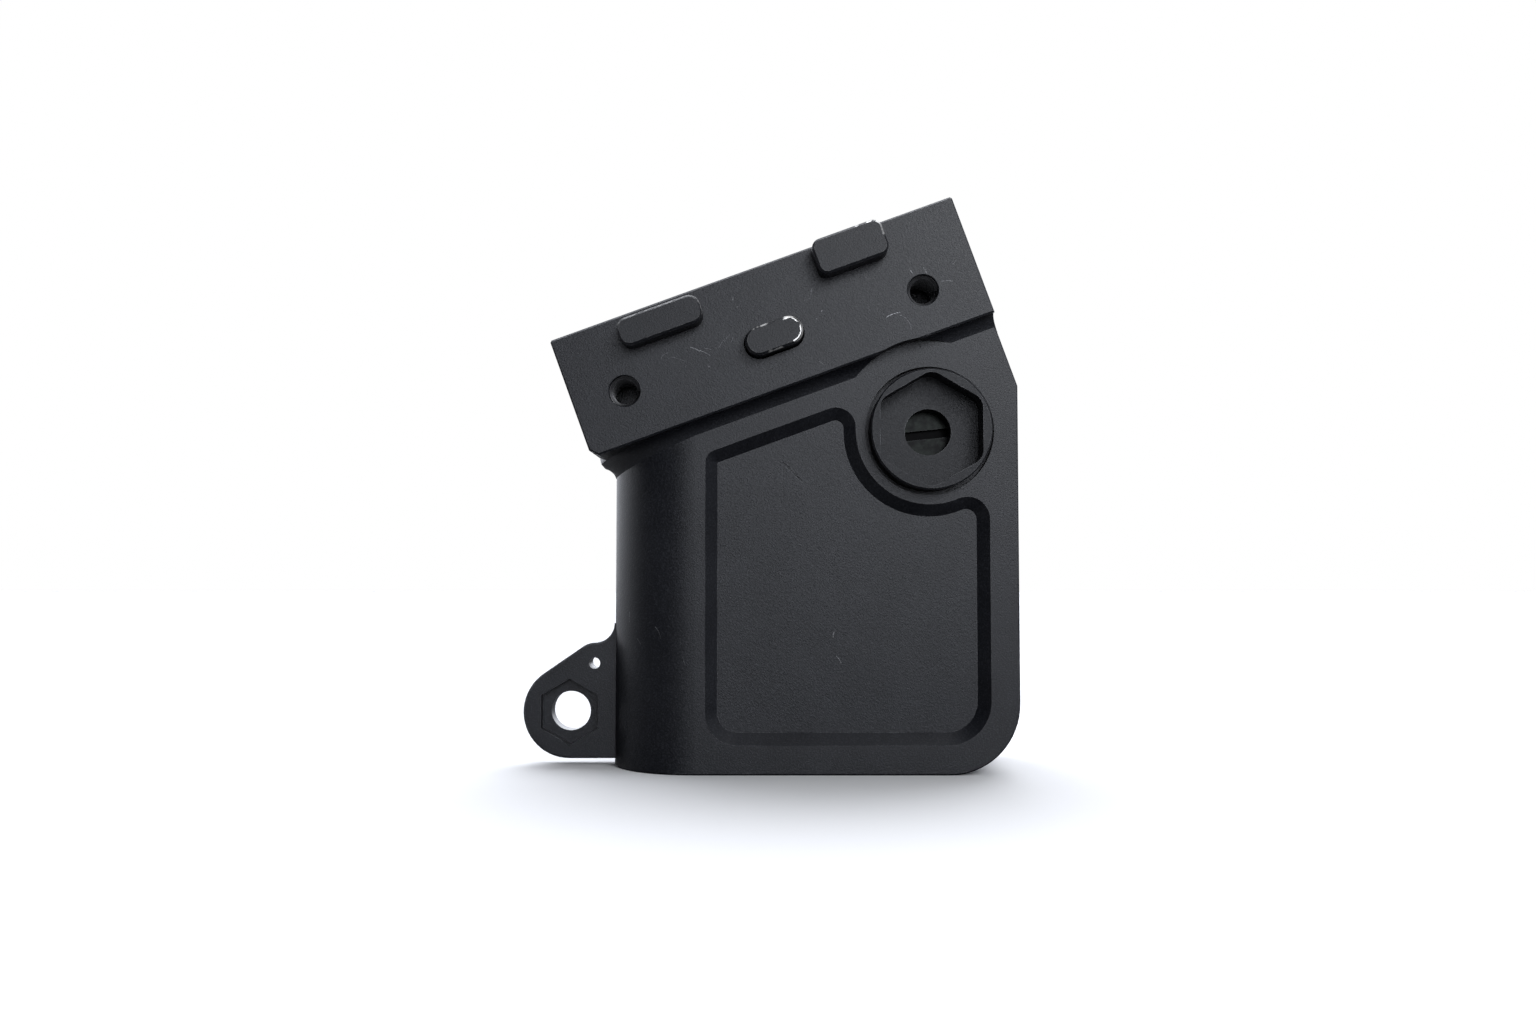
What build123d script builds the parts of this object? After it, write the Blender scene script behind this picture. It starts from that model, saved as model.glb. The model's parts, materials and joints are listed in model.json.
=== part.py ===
from build123d import *
import math
import os

# Angled mounting block. The block stands on its base with its wide faces in the XZ plane.
# The origin is the middle of the base: +X to the block's square side, +Y to its back, +Z up.
# All sizes are in millimetres.

# Body
body_width = 70.0
body_thickness = 30.0
body_corner_radius = 12.0
edge_break = 0.3

# Angled plate across the top, proud of the front face
plate_angle = 20.0
plate_length = 72.2
plate_height = 21.0
plate_proud = 3.5
plate_from_right = 41.9
plate_center_height = 75.6
plate_corner_chamfer = 1.3
cove_radius = 3.0
cove_run_out = 2.5
cove_bite = 0.12

# Sunk panel in the front face
panel_right_margin = 4.9
panel_base_margin = 5.0
panel_left_from_nose = 1.7
panel_top_gap = 5.5
panel_boss_gap = 2.3
panel_depth = 2.0
panel_wall_angle = 45.0
panel_base_left_radius = 5.4
panel_base_right_radius = 7.4
panel_top_right_radius = 3.8
panel_tip_radius = 3.4
panel_top_left_radius = 2.2
mark_x = -5.0
mark_z = 53.0
mark_height = 6.0
mark_width = 6.6
mark_line = 0.35
mark_depth = 0.2

# Ear with a nut seat
ear_thickness = 6.0
ear_reach = 7.9
ear_height = 9.5
ear_radius = 8.2
ear_bore_diameter = 7.0
ear_nut_flats = 10.15
ear_nut_depth = 2.3
ear_root_depth = 6.0
ear_root_fillet = 3.5
wire_hole_diameter = 2.0
wire_hole_reach = 3.5
wire_hole_height = 18.1
wire_hole_wall = 2.6

# Hexagon bush and the captive screw behind it
bush_from_right = 15.1
bush_height = 58.3
bush_diameter = 20.5
bush_proud = 3.4
bush_hex_flats = 17.3
bush_hex_corner_radius = 2.5
bush_hex_depth = 5.7
bush_floor = 4.3
bush_hole_diameter = 8.0
bush_seat_clearance = 0.02
bush_gap = 0.75
bush_gap_depth = 2.5
bush_rim_chamfer = 0.25
relief_radius = 15.5

screw_diameter = 6.0
screw_head_diameter = 10.0
screw_head_height = 3.9
screw_slot_width = 1.6
screw_slot_depth = 1.6
screw_slot_angle = 6.0
screw_travel = 6.5
screw_reach = 5.1
head_gap = 0.1
washer_diameter = 12.4
washer_hole_diameter = 6.6
washer_thickness = 1.6
screw_bore_diameter = 13.0
screw_spring_diameter = 9.4
screw_spring_wire = 0.8
screw_spring_turns = 5
sleeve_diameter = 10.0
sleeve_flange_thickness = 1.5
sleeve_wall = 4.5
sleeve_inset = 0.3
sleeve_bore_clearance = 0.05
sleeve_seat_clearance = 0.02

# Locating keys and the sprung lock key
key_proud = 4.0
key_seat_depth = 2.0
key_seat_clearance = 0.02
left_key_u = -17.5
left_key_v = 6.7
left_key_length = 14.5
left_key_width = 4.8
left_key_radius = 1.9
right_key_u = 16.5
right_key_length = 12.3
right_key_width = 6.1
right_key_radius = 1.6
key_edge = 0.35
key_screw_v = 6.6
key_screw_pitch = 5.6
key_screw_grip = 2.0
key_screw_thread = 4.5

lock_key_u = -0.4
lock_key_v = -2.0
lock_key_length = 10.0
lock_key_width = 4.8
lock_key_proud = 2.8
lock_key_clearance = 0.3
lock_wall = 5.0
lock_flange_length = 15.0
lock_flange_width = 8.0
lock_flange_thickness = 2.5
lock_bay_clearance = 0.3
lock_spring_diameter = 6.4
lock_spring_wire = 0.7
lock_spring_turns = 5
lock_spring_length = 9.0
lock_post_diameter = 4.0
lock_post_length = 3.0
retainer_length = 28.0
retainer_thickness = 2.5
retainer_screw_pitch = 21.5
retainer_clearance = 0.1

# Fasteners
m3_diameter = 3.0
m3_clearance_diameter = 3.4
m3_head_diameter = 5.5
m3_head_height = 3.0
m3_socket_flats = 2.5
m3_socket_depth = 1.5
m3_countersunk_diameter = 6.0
m3_countersunk_height = 1.7
m3_countersunk_socket_flats = 2.0
m2_diameter = 2.0
m2_clearance_diameter = 2.4
m2_head_diameter = 3.8
m2_head_height = 2.0
m2_socket_flats = 1.5
m2_socket_depth = 1.0
m2_bore_diameter = 4.2
thread_clearance = 0.02
hole_spare = 1.0
retainer_screw_length = 6.0
cover_screw_length = 8.0

# Threaded holes for the part that the plate carries, lined with inserts
hole_left_u = -27.1
hole_left_v = -1.8
hole_right_u = 26.0
hole_right_v = -2.9
insert_bore_diameter = 4.2
insert_diameter = 5.2
insert_length = 9.0
insert_inset = 0.6
insert_seat_clearance = 0.02
insert_hole_extra = 2.0
mouth_chamfer = 0.12

# Covers let into the back
cover_thickness = 3.0
cover_clearance = 0.1
cover_nose_margin = 1.0
cover_side_margin = 4.0
cover_bore_wall = 1.6
cover_radius = 3.5
cover_ledge = 6.5
cover_screw_inset = 3.5
hollow_front_wall = 4.6
hollow_radius = 5.0
dowel_diameter = 3.0
dowel_length = 7.0
dowel_clearance = 0.02
top_cover_length = 56.0
top_cover_height = 16.5
top_cover_u = -0.5
top_cover_v = 0.75
top_cover_screw_inset_u = 3.5
top_cover_screw_inset_v = 3.55

# Places worked out from the sizes above
right_x = body_width / 2
left_x = -body_width / 2
front_y = -body_thickness / 2
back_y = body_thickness / 2
nose_radius = body_thickness / 2
nose_x = left_x + nose_radius
plate_y = front_y - plate_proud
cover_y = back_y - cover_thickness
plate_x = right_x - plate_from_right
plate_z = plate_center_height
bush_x = right_x - bush_from_right
bush_z = bush_height
slope = math.radians(plate_angle)

bush_face_y = front_y - bush_proud
bush_floor_y = bush_face_y + bush_hex_depth
bush_back_y = bush_floor_y + bush_floor
head_y = bush_back_y + head_gap
head_back_y = head_y + screw_head_height
washer_back_y = head_back_y + washer_thickness
screw_end_y = back_y + screw_reach - screw_travel
sleeve_wall_y = back_y - sleeve_wall
sleeve_y = sleeve_wall_y - sleeve_flange_thickness
sleeve_back_y = back_y - sleeve_inset
hollow_y = front_y + panel_depth + hollow_front_wall

lock_floor_y = plate_y + lock_wall
lock_flange_y = lock_floor_y + lock_flange_thickness
retainer_y = lock_flange_y + lock_spring_length
retainer_back_y = retainer_y + retainer_thickness
lock_bay_length = lock_flange_length + 2 * lock_bay_clearance
lock_bay_width = lock_flange_width + 2 * lock_bay_clearance
key_seat_y = plate_y + key_seat_depth
key_head_y = key_seat_y + key_screw_grip
right_key_v = plate_height / 2 - right_key_width / 2

locating_keys = (
    {"u": left_key_u, "v": left_key_v, "length": left_key_length,
     "width": left_key_width, "radius": left_key_radius},
    {"u": right_key_u, "v": right_key_v, "length": right_key_length,
     "width": right_key_width, "radius": right_key_radius},
)
m2_screw = {"thread": m2_diameter, "head": m2_head_diameter, "height": m2_head_height,
            "flats": m2_socket_flats, "socket": m2_socket_depth}
m3_screw = {"thread": m3_diameter, "head": m3_head_diameter, "height": m3_head_height,
            "flats": m3_socket_flats, "socket": m3_socket_depth}


def plate_point(u, v):
    """World x and z of a point given along (u) and across (v) the angled plate."""
    x = plate_x + u * math.cos(slope) - v * math.sin(slope)
    z = plate_z + u * math.sin(slope) + v * math.cos(slope)
    return x, z


def along_y(outline, y_low, y_high, at=(0.0, 0.0), turn=0.0):
    """Extrude a sketch, drawn as seen from the front, between two depths."""
    angle = math.radians(turn)
    plane = Plane(
        origin=(at[0], y_high, at[1]),
        x_dir=(math.cos(angle), 0, math.sin(angle)),
        z_dir=(0, -1, 0),
    )
    return extrude(plane * outline, amount=y_high - y_low)


def rod(diameter, y_low, y_high, at):
    return along_y(Circle(diameter / 2), y_low, y_high, at)


def on_plate(outline, y_low, y_high, u=0.0, v=0.0):
    return along_y(outline, y_low, y_high, plate_point(u, v), plate_angle)


def cone(d_low, d_high, y_low, y_high, at):
    """A cone along Y, from one diameter at the low depth to another at the high one."""
    body = Cone(d_low / 2, d_high / 2, y_high - y_low, align=(Align.CENTER, Align.CENTER, Align.MIN))
    return Pos(at[0], y_low, at[1]) * Rot(-90, 0, 0) * body


def stadium(length, width):
    return SlotOverall(length, width)


def hexagon(flats, corner_radius=0.0):
    outline = RegularPolygon(flats / 2, 6, major_radius=False, rotation=30)
    if corner_radius > 0:
        outline = fillet(outline.vertices(), corner_radius)
    return outline


def edges_at_y(shape, y):
    return shape.edges().filter_by_position(Axis.Y, y - 0.001, y + 0.001)


def bar_outline():
    outline = Rectangle(plate_length, plate_height)
    corner = outline.vertices().sort_by(Axis.X)[:2].sort_by(Axis.Y)[0]
    outline = chamfer(corner, plate_corner_chamfer)
    return chamfer(outline.vertices().sort_by(Axis.Y)[-2:], edge_break)


def bar():
    """The angled plate, with its front edges broken."""
    solid = on_plate(bar_outline(), plate_y, back_y)
    return chamfer(edges_at_y(solid, plate_y), edge_break)


def body_solid():
    """The upright part: a D section in plan, cut to its outline as seen from the front."""
    plan = Pos(nose_x, 0) * Circle(nose_radius)
    plan += Pos((nose_x + right_x) / 2, 0) * Rectangle(right_x - nose_x, body_thickness)
    column = extrude(plan, amount=2 * plate_center_height)
    column = chamfer(column.edges().filter_by_position(Axis.Z, -0.001, 0.001), edge_break)
    end_x, end_z = plate_point(plate_length / 2, -plate_height / 2)
    shoulder_z = end_z - (right_x - end_x) / math.tan(slope)
    left_end = plate_point(-plate_length / 2, 0)
    clear_x = left_x - cove_radius
    outline = Polygon(
        (clear_x, 0), (right_x, 0), (right_x, shoulder_z),
        plate_point(plate_length / 2, 0), left_end, (clear_x, left_end[1]),
        align=None,
    )
    corner = outline.vertices().sort_by(Axis.Y)[:2].sort_by(Axis.X)[-1]
    slab = along_y(fillet(corner, body_corner_radius), front_y, back_y)
    slab = chamfer(edges_at_y(slab, front_y) + edges_at_y(slab, back_y), edge_break)
    return column & slab


def ear():
    center = (left_x - ear_reach, ear_height)
    wire = (left_x - wire_hole_reach, wire_hole_height)
    wire_radius = wire_hole_diameter / 2 + wire_hole_wall
    low = ear_height - ear_radius
    high = wire_hole_height + wire_radius
    root = Pos(left_x + ear_root_depth / 2, (low + high) / 2) * Rectangle(ear_root_depth, high - low)
    rounds = Pos(*center) * Circle(ear_radius) + Pos(*wire) * Circle(wire_radius)
    outline = make_hull((rounds + root).edges())
    corner = Pos(left_x, high) * Rectangle(
        ear_root_fillet + ear_root_depth, ear_root_fillet, align=(Align.MIN, Align.MIN))
    corner = Pos(-ear_root_fillet, 0) * corner
    corner -= Pos(left_x - ear_root_fillet, high + ear_root_fillet) * Circle(ear_root_fillet)
    half = ear_thickness / 2
    solid = along_y(outline + corner, -half, half)
    solid = chamfer(edges_at_y(solid, -half) + edges_at_y(solid, half), edge_break)
    solid -= rod(ear_bore_diameter, -half, half, center)
    solid -= rod(wire_hole_diameter, -half, half, wire)
    return solid - along_y(hexagon(ear_nut_flats), -half, -half + ear_nut_depth, center)


def panel_outline():
    nose_side = nose_x + panel_left_from_nose
    right_side = right_x - panel_right_margin
    reach = bush_diameter / 2 + panel_boss_gap
    corner_x, corner_z = plate_point(-plate_length / 2, -plate_height / 2 - panel_top_gap)

    def top_at(x):
        return corner_z + (x - corner_x) * math.tan(slope)

    tip_x = bush_x - reach
    base_left = (nose_side, panel_base_margin)
    base_right = (right_side, panel_base_margin)
    tip = (tip_x, top_at(tip_x))
    tip_room = (tip[1] - bush_z) * math.tan(math.radians((90 - plate_angle) / 2))
    top_left = (nose_side, top_at(nose_side))
    outline = Polygon(base_left, base_right, (right_side, bush_z), (tip_x, bush_z), tip, top_left, align=None)
    for spot, radius in (
        (base_left, panel_base_left_radius), (base_right, panel_base_right_radius),
        (tip, min(panel_tip_radius, 0.95 * tip_room)), (top_left, panel_top_left_radius),
    ):
        outline = fillet(outline.vertices().sort_by_distance(spot)[0], radius)
    outline -= Pos(bush_x, bush_z) * Circle(reach)
    top_right = outline.vertices().sort_by_distance((right_side, bush_z - reach))[0]
    return fillet(top_right, panel_top_right_radius)


def cover_outline(gap):
    """The lower cover's outline, or with a negative gap its recess, as seen from the front."""
    left = nose_x + cover_nose_margin
    right = right_x - cover_side_margin
    low = cover_side_margin
    high = bush_z - screw_bore_diameter / 2 - cover_bore_wall
    outline = Polygon(
        (left + gap, low + gap), (right - gap, low + gap),
        (right - gap, high - gap), (left + gap, high - gap), align=None,
    )
    wide_corner = outline.vertices().sort_by(Axis.Y)[:2].sort_by(Axis.X)[-1]
    outline = fillet(wide_corner, body_corner_radius - cover_side_margin - gap)
    others = [v for v in outline.vertices() if v.Y > high - gap - 0.01 or v.X < left + gap + 0.01]
    return fillet(others, cover_radius - gap)


def hollow_outline():
    left = nose_x + cover_nose_margin + cover_ledge
    right = right_x - cover_side_margin - cover_ledge
    low = cover_side_margin + cover_ledge
    high = bush_z - screw_bore_diameter / 2 - cover_bore_wall - cover_ledge
    middle = ((left + right) / 2, (low + high) / 2)
    return Pos(*middle) * RectangleRounded(right - left, high - low, hollow_radius)


def cover_screw_points():
    """Corners, with the wide one drawn in to its curve, and the middles of the two upright sides."""
    left = nose_x + cover_nose_margin + cover_screw_inset
    right = right_x - cover_side_margin - cover_screw_inset
    low = cover_side_margin + cover_screw_inset
    high = bush_z - screw_bore_diameter / 2 - cover_bore_wall - cover_screw_inset
    wide = body_corner_radius - cover_side_margin - cover_screw_inset
    draw_in = wide * (1 - math.sqrt(0.5))
    middle = (low + high) / 2
    return [(left, low), (right - draw_in, low + draw_in), (right, high), (left, high),
            (left, middle), (right, middle)]


def cover_dowel_points():
    """Two dowels, one in the lower and one in the upper ledge."""
    left, low = cover_screw_points()[0]
    right, high = cover_screw_points()[2]
    quarter = (right - left) / 4
    return [(left + quarter, low), (right - quarter, high)]


def top_cover_screw_points():
    reach_u = top_cover_length / 2 - top_cover_screw_inset_u
    reach_v = top_cover_height / 2 - top_cover_screw_inset_v
    return [plate_point(top_cover_u + su * reach_u, top_cover_v + sv * reach_v)
            for su in (-1, 1) for sv in (-1, 1)]


def key_screw_points():
    return [plate_point(u + s * key_screw_pitch / 2, key_screw_v)
            for u in (left_key_u, right_key_u) for s in (-1, 1)]


def retainer_screw_points():
    return [plate_point(lock_key_u + s * retainer_screw_pitch / 2, lock_key_v) for s in (-1, 1)]


def key_outline(length, width, radius, gap=0.0):
    return RectangleRounded(length + 2 * gap, width + 2 * gap, radius + gap)


def cove():
    """Fillet all along the plate's underside, as a ball-nosed cutter leaves it round the D section."""
    outer = nose_radius + cove_radius
    plan = Pos(nose_x, 0) * Circle(outer)
    plan += Pos((nose_x + right_x) / 2, 0) * Rectangle(right_x - nose_x, 2 * outer)
    wide_column = extrude(plan, amount=2 * plate_center_height)
    strip = Rectangle(plate_length, 2 * cove_radius)
    wedge = wide_column & on_plate(strip, plate_y, back_y, 0, -plate_height / 2)
    behind = Box(body_width, body_thickness, 4 * plate_height, align=(Align.MIN, Align.MIN, Align.CENTER))
    wedge -= Pos(nose_x - cove_run_out, 0, plate_z) * behind
    low_x, low_z = plate_point(0, cove_bite - plate_height / 2 - cove_radius)
    reach = outer - cove_bite
    along = (math.cos(slope), 0, math.sin(slope))
    origin = (nose_x, 0, low_z + (nose_x - low_x) * math.tan(slope))
    cutter_plane = Plane(origin=origin, x_dir=along, z_dir=(-math.sin(slope), 0, math.cos(slope)))
    straight = Line((2 * plate_length, -reach), (0, -reach))
    around = EllipticalCenterArc((0, 0), reach / math.cos(slope), reach, start_angle=90, arc_size=180)
    path = Wire((cutter_plane * straight).edges() + (cutter_plane * around).edges())
    start = Plane(origin=path @ 0, z_dir=path % 0)
    return wedge - sweep(start * Circle(cove_radius), path=path)


def mark():
    """A plain arrow in thin grooves that shows which way up the block goes."""
    half = mark_width / 2
    stem = Rectangle(mark_line, mark_height, align=(Align.CENTER, Align.MAX))
    barb = Rectangle(mark_line, half * math.sqrt(2), align=(Align.CENTER, Align.MAX))
    return stem + Rot(0, 0, 45) * barb + Rot(0, 0, -45) * barb


def cut_front(block):
    """Panel, its mark, the relief round the bush, and the broken edge of the plate."""
    block -= along_y(Circle(relief_radius), plate_y - 1, front_y, (bush_x, bush_z))
    front_plane = Plane(origin=(0, front_y, 0), x_dir=(1, 0, 0), z_dir=(0, -1, 0))
    block -= extrude(front_plane * panel_outline(), amount=-panel_depth, taper=panel_wall_angle)
    panel_y = front_y + panel_depth
    return block - along_y(mark(), panel_y, panel_y + mark_depth, (mark_x, mark_z))


def cut_bush_bore(block):
    at = (bush_x, bush_z)
    gap_diameter = bush_diameter + 2 * bush_gap
    block -= rod(gap_diameter, plate_y, front_y + bush_gap_depth, at)
    block -= rod(bush_diameter + 2 * bush_seat_clearance, front_y, bush_back_y, at)
    block -= rod(screw_bore_diameter, bush_back_y, sleeve_wall_y, at)
    return block - rod(sleeve_diameter + 2 * sleeve_seat_clearance, sleeve_wall_y, back_y, at)


def cut_inserts(block):
    for u, v in ((hole_left_u, hole_left_v), (hole_right_u, hole_right_v)):
        at = plate_point(u, v)
        seat = insert_diameter + 2 * insert_seat_clearance
        hole_end = plate_y + insert_inset + insert_length + insert_hole_extra
        block -= rod(seat, plate_y, hole_end, at)
        block -= cone(seat + 2 * mouth_chamfer, seat, plate_y, plate_y + mouth_chamfer, at)
    return block


def cut_keys(block):
    for key in locating_keys:
        outline = key_outline(key["length"], key["width"], key["radius"], key_seat_clearance)
        block -= on_plate(outline, plate_y, key_seat_y, key["u"], key["v"])
    for at in key_screw_points():
        block -= rod(m2_clearance_diameter, key_seat_y, key_head_y, at)
        block -= rod(m2_bore_diameter, key_head_y, cover_y, at)
    slot = stadium(lock_key_length + 2 * lock_key_clearance, lock_key_width + 2 * lock_key_clearance)
    block -= on_plate(slot, plate_y, lock_floor_y, lock_key_u, lock_key_v)
    bay = Rectangle(lock_bay_length, lock_bay_width)
    block -= on_plate(bay, lock_floor_y, retainer_y, lock_key_u, lock_key_v)
    tray = Rectangle(retainer_length + 2 * retainer_clearance, lock_bay_width)
    block -= on_plate(tray, retainer_y, cover_y, lock_key_u, lock_key_v)
    hole = m3_diameter + 2 * thread_clearance
    low = retainer_back_y - retainer_screw_length - hole_spare
    for at in retainer_screw_points():
        block -= rod(hole, low, retainer_y, at)
    return block


def cut_back(block):
    block -= along_y(hollow_outline(), hollow_y, cover_y)
    block -= along_y(cover_outline(-cover_clearance), cover_y, back_y)
    recess = Rectangle(top_cover_length + 2 * cover_clearance, top_cover_height + 2 * cover_clearance)
    block -= on_plate(recess, cover_y, back_y, top_cover_u, top_cover_v)
    low = back_y - cover_screw_length - hole_spare
    for at in cover_screw_points() + top_cover_screw_points():
        block -= rod(m3_diameter + 2 * thread_clearance, low, cover_y, at)
    for at in cover_dowel_points():
        block -= rod(dowel_diameter + 2 * dowel_clearance, back_y - dowel_length - hole_spare, cover_y, at)
    return block


def block_body():
    """Body, plate and ear are one billet, with the cove under the plate."""
    block = body_solid() + bar() + cove() + ear()
    for cut in (cut_front, cut_bush_bore, cut_inserts, cut_keys, cut_back):
        block = cut(block)
    return block


# Pieces that the block carries

def locating_key(key):
    """A feather key with its front edges broken, tapped from behind."""
    outline = key_outline(key["length"], key["width"], key["radius"])
    solid = on_plate(outline, plate_y - key_proud, key_seat_y, key["u"], key["v"])
    solid = chamfer(edges_at_y(solid, plate_y - key_proud), key_edge)
    for at in key_screw_points():
        solid -= rod(m2_diameter + 2 * thread_clearance, key_seat_y - key_screw_thread, key_seat_y, at)
    return solid


def cap_screw(at, head_y, tip_y, size):
    """A socket-head screw put in from the back, with its head's underside at head_y."""
    solid = rod(size["thread"], tip_y, head_y, at)
    solid += rod(size["head"], head_y, head_y + size["height"], at)
    top = head_y + size["height"]
    return solid - along_y(hexagon(size["flats"]), top - size["socket"], top, at)


def countersunk_screw(at, length):
    """A countersunk screw, flush with the back."""
    cone_y = back_y - m3_countersunk_height
    solid = rod(m3_diameter, back_y - length, cone_y, at)
    solid += cone(m3_diameter, m3_countersunk_diameter, cone_y, back_y, at)
    return solid - along_y(hexagon(m3_countersunk_socket_flats), cone_y, back_y, at)


def cover_holes(cover, points):
    cone_y = back_y - m3_countersunk_height - thread_clearance
    for at in points:
        cover -= rod(m3_clearance_diameter, cover_y, back_y, at)
        cover -= cone(m3_diameter, m3_countersunk_diameter, cone_y, back_y - thread_clearance, at)
        cover -= rod(m3_countersunk_diameter, back_y - thread_clearance, back_y, at)
    return cover


def rear_cover():
    cover = along_y(cover_outline(0), cover_y, back_y)
    cover = chamfer(edges_at_y(cover, back_y), edge_break)
    for at in cover_dowel_points():
        cover -= rod(dowel_diameter + 2 * dowel_clearance, cover_y, back_y, at)
    return cover_holes(cover, cover_screw_points())


def key_bay_cover():
    outline = Rectangle(top_cover_length, top_cover_height)
    cover = on_plate(outline, cover_y, back_y, top_cover_u, top_cover_v)
    cover = chamfer(edges_at_y(cover, back_y), edge_break)
    return cover_holes(cover, top_cover_screw_points())


def cover_dowels():
    return [rod(dowel_diameter, back_y - dowel_length, back_y, at) for at in cover_dowel_points()]


def thread_insert(u, v):
    at = plate_point(u, v)
    low = plate_y + insert_inset
    return rod(insert_diameter, low, low + insert_length, at) - rod(
        insert_bore_diameter, low, low + insert_length, at)


def hex_bush():
    at = (bush_x, bush_z)
    solid = rod(bush_diameter, bush_face_y, bush_back_y, at)
    solid = chamfer(edges_at_y(solid, bush_face_y), bush_rim_chamfer)
    solid -= along_y(hexagon(bush_hex_flats, bush_hex_corner_radius), bush_face_y, bush_floor_y, at)
    return solid - rod(bush_hole_diameter, bush_floor_y, bush_back_y, at)


def captive_screw():
    at = (bush_x, bush_z)
    solid = rod(screw_head_diameter, head_y, head_back_y, at)
    solid += rod(screw_diameter, head_back_y, screw_end_y, at)
    slot = Rectangle(screw_head_diameter + 1, screw_slot_width)
    solid -= along_y(slot, head_y, head_y + screw_slot_depth, at, screw_slot_angle)
    return chamfer(edges_at_y(solid, screw_end_y), screw_diameter / 10)


def captive_washer():
    at = (bush_x, bush_z)
    ring = rod(washer_diameter, head_back_y, washer_back_y, at)
    return ring - rod(washer_hole_diameter, head_back_y, washer_back_y, at)


def guide_sleeve():
    """Flanged steel sleeve in the back wall, put in from the front before the screw."""
    at = (bush_x, bush_z)
    solid = rod(screw_bore_diameter - 2 * sleeve_seat_clearance, sleeve_y, sleeve_wall_y, at)
    solid += rod(sleeve_diameter, sleeve_wall_y, sleeve_back_y, at)
    return solid - rod(screw_diameter + 2 * sleeve_bore_clearance, sleeve_y, sleeve_back_y, at)


def coil_spring(outer_diameter, wire, turns, y_low, y_high, at):
    """A compression spring between two seats."""
    height = y_high - y_low - wire
    path = Helix(pitch=height / turns, height=height, radius=(outer_diameter - wire) / 2)
    coil = sweep(Plane(origin=path @ 0, z_dir=path % 0) * Circle(wire / 2), path=path, is_frenet=True)
    return Pos(at[0], y_low + wire / 2, at[1]) * Rot(-90, 0, 0) * coil


def lock_key():
    shank = stadium(lock_key_length, lock_key_width)
    solid = on_plate(shank, plate_y - lock_key_proud, lock_floor_y, lock_key_u, lock_key_v)
    solid = chamfer(edges_at_y(solid, plate_y - lock_key_proud), key_edge)
    flange = Rectangle(lock_flange_length, lock_flange_width)
    solid += on_plate(flange, lock_floor_y, lock_flange_y, lock_key_u, lock_key_v)
    post_y = lock_flange_y + lock_post_length
    return solid + rod(lock_post_diameter, lock_flange_y, post_y, plate_point(lock_key_u, lock_key_v))


def spring_retainer():
    outline = Rectangle(retainer_length, lock_bay_width - 2 * retainer_clearance)
    plate = on_plate(outline, retainer_y, retainer_back_y, lock_key_u, lock_key_v)
    for at in retainer_screw_points():
        plate -= rod(m3_clearance_diameter, retainer_y, retainer_back_y, at)
    return plate


def save(node, solids):
    if not isinstance(solids, list):
        solids = [solids]
    bodies = [body for shape in solids for body in shape.solids()]
    export_step(Compound(children=bodies) if len(bodies) > 1 else bodies[0], f"parts/{node}.step")


def main():
    os.makedirs("parts", exist_ok=True)
    left_key, right_key = locating_keys
    bush_at = (bush_x, bush_z)
    lock_at = plate_point(lock_key_u, lock_key_v)
    save("block_body", block_body())
    save("left_locating_key", locating_key(left_key))
    save("right_locating_key", locating_key(right_key))
    save("locating_key_screws", [
        cap_screw(at, key_head_y, key_seat_y - key_screw_thread + hole_spare, m2_screw)
        for at in key_screw_points()])
    save("left_thread_insert", thread_insert(hole_left_u, hole_left_v))
    save("right_thread_insert", thread_insert(hole_right_u, hole_right_v))
    save("lock_key", lock_key())
    save("lock_key_spring", coil_spring(
        lock_spring_diameter, lock_spring_wire, lock_spring_turns, lock_flange_y, retainer_y, lock_at))
    save("spring_retainer", spring_retainer())
    save("spring_retainer_screws", [
        cap_screw(at, retainer_back_y, retainer_back_y - retainer_screw_length, m3_screw)
        for at in retainer_screw_points()])
    save("hex_bush", hex_bush())
    save("captive_screw", captive_screw())
    save("captive_washer", captive_washer())
    save("captive_screw_spring", coil_spring(
        screw_spring_diameter, screw_spring_wire, screw_spring_turns, washer_back_y, sleeve_y, bush_at))
    save("guide_sleeve", guide_sleeve())
    save("rear_cover", rear_cover())
    save("rear_cover_screws", [countersunk_screw(at, cover_screw_length) for at in cover_screw_points()])
    save("rear_cover_dowels", cover_dowels())
    save("key_bay_cover", key_bay_cover())
    save("key_bay_cover_screws", [
        countersunk_screw(at, cover_screw_length) for at in top_cover_screw_points()])


if __name__ == "__main__":
    main()
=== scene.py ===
import json
import math

import bmesh
import bpy
from mathutils import Matrix, Vector


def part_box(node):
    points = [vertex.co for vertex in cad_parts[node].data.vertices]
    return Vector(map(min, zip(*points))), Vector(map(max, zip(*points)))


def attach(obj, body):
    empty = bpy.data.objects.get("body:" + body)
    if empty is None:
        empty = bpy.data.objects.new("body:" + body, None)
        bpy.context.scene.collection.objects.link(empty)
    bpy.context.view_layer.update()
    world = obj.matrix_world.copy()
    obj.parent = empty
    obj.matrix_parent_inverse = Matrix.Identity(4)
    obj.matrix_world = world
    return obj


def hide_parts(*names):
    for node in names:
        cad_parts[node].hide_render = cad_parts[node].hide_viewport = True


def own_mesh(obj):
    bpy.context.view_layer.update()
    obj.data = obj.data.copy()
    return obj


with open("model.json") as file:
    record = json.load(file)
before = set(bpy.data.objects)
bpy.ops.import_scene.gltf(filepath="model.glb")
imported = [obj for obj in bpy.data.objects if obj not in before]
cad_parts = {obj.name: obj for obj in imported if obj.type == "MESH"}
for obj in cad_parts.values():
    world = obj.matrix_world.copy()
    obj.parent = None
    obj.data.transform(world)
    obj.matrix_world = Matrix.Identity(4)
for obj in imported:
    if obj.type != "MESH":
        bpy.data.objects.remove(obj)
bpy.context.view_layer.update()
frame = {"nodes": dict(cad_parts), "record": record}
mm = 0.001
mounts = {mount["name"]: mount for mount in frame["record"]["mounts"]}
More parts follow.
